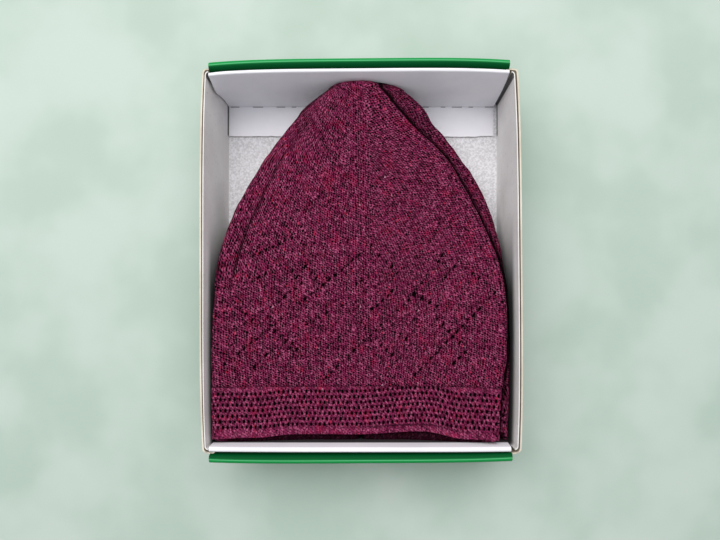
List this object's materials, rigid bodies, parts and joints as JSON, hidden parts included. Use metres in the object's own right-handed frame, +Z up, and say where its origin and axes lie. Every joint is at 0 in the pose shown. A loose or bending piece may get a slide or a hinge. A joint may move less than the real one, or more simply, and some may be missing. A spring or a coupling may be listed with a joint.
{
  "type": "knitted prayer cap in an open box",
  "caption": "Soft knitted cone-shaped prayer cap with an openwork band, folded and lying in an open shallow paperboard box with its lid nested underneath.",
  "frame": {"origin": "middle of the underside of the box", "axes": "+Z up, out of the open box; the cap's hem lies towards -Y and its tip towards +Y; X across"},
  "size_m": [0.1494, 0.1882, 0.0377],
  "materials": {
    "crown_knit": "fine stockinette in a flecked burgundy yarn, with lines of eyelets",
    "band_knit": "openwork knit in the same flecked burgundy yarn",
    "tray_board": null,
    "lid_board": null
  },
  "bodies": {
    "root": {"cap_crown": "crown_knit", "cap_band": "band_knit", "box_tray": "tray_board", "box_lid": "lid_board"}
  },
  "joints": []
}
